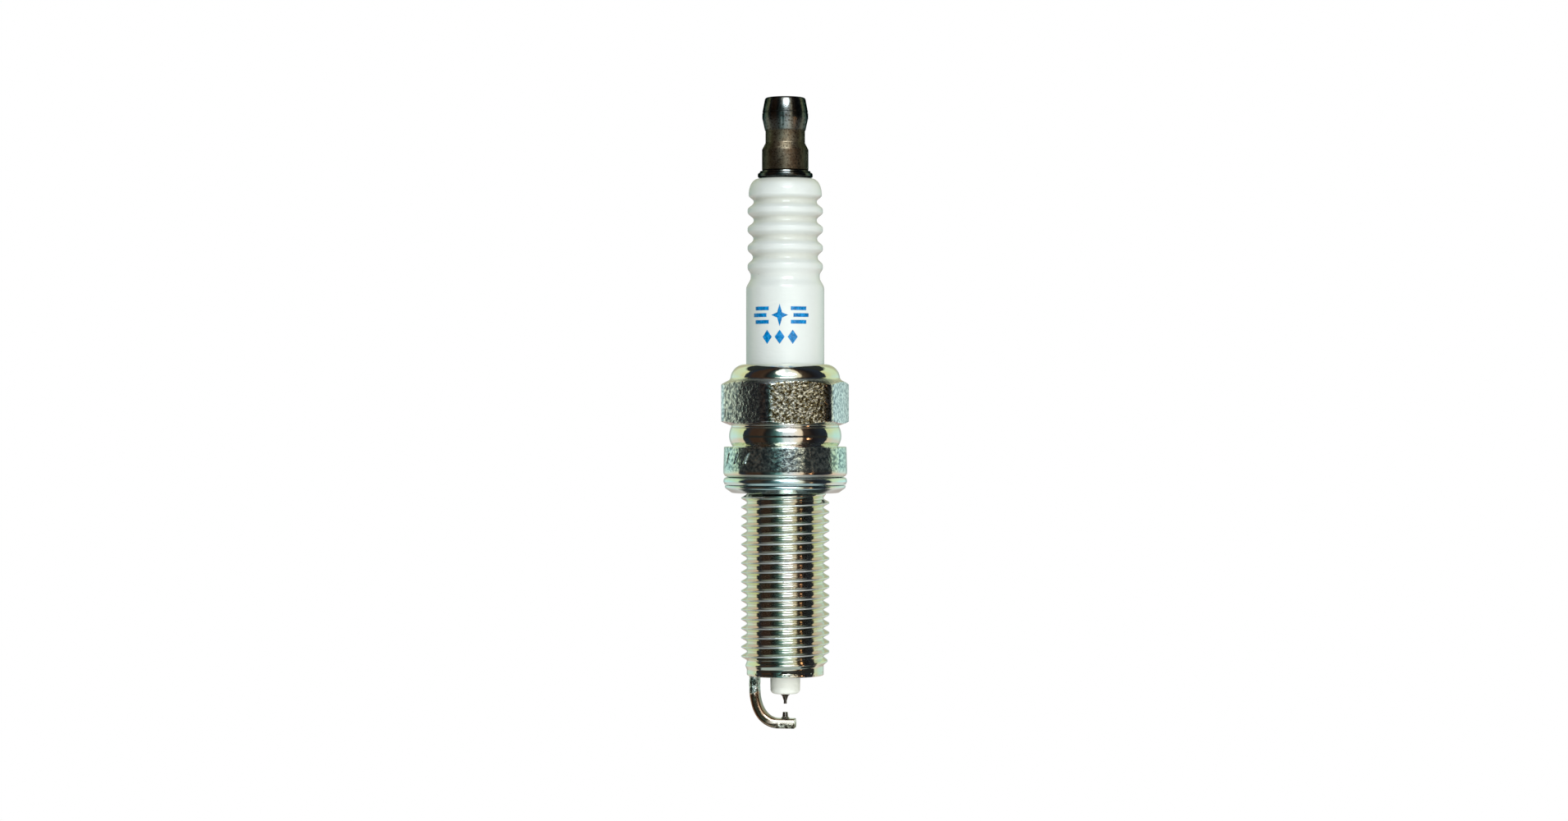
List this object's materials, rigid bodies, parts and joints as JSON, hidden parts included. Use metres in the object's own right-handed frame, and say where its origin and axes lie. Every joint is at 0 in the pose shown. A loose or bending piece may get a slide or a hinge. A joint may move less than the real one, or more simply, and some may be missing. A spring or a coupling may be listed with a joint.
{
  "type": "spark plug",
  "caption": "Long-reach gasket-seat spark plug with a screw-on terminal, ribbed white insulator, hexagon shell, fine-wire centre electrode and bent ground electrode.",
  "frame": {"origin": "on the plug's axis, in the plane where the gasket's lower face meets the cylinder head", "axes": "+Z along the plug's axis towards the terminal; -Y towards the viewer of the picture; the ground electrode's arm points along +X, turned 9 degrees towards -Y"},
  "size_m": [0.0172, 0.017, 0.0847],
  "materials": {
    "smoky_nickel": "smoky dark nickel, fine grained, satin",
    "glazed_alumina": "clear glaze over white alumina, glossy",
    "zinc_plate": "bright zinc plate with a faintly iridescent clear passivation",
    "gasket_plate": "bright bluish plated sheet steel",
    "nickel_alloy": "nickel alloy, drawn, lightly oxidised",
    "precious_metal": "iridium and platinum alloy, fine ground",
    "copper": "drawn copper",
    "seal_glass": "dark glass filled with metal powder, matt",
    "resistor_mix": "glass and carbon mix, matt black",
    "talc": "pressed powder, matt",
    "packing_steel": "drawn steel, satin"
  },
  "bodies": {
    "plug_body": {"terminal_stud": "smoky_nickel", "insulator": "glazed_alumina", "upper_glass_seal": "seal_glass", "resistor_element": "resistor_mix", "lower_glass_seal": "seal_glass", "centre_electrode": "nickel_alloy", "centre_electrode_core": "copper", "centre_electrode_tip": "precious_metal", "shell": "zinc_plate", "seat_packing": "packing_steel", "lower_packing_ring": "packing_steel", "talc_filling": "talc", "upper_packing_ring": "packing_steel", "ground_electrode": "nickel_alloy", "ground_electrode_pad": "precious_metal"},
    "terminal_nut_body": {"terminal_nut": "smoky_nickel"},
    "gasket_body": {"gasket": "gasket_plate"}
  },
  "joints": [
    {"name": "terminal_lift", "type": "slide", "parent": "plug_body", "child": "terminal_nut_body", "axis": [0, 0, 1], "range_m": [0, 0.009]},
    {"name": "gasket_turn", "type": "hinge", "parent": "plug_body", "child": "gasket_body", "pos_m": [0, 0, 0.001], "axis": [0, 0, 1], "continuous": true}
  ]
}
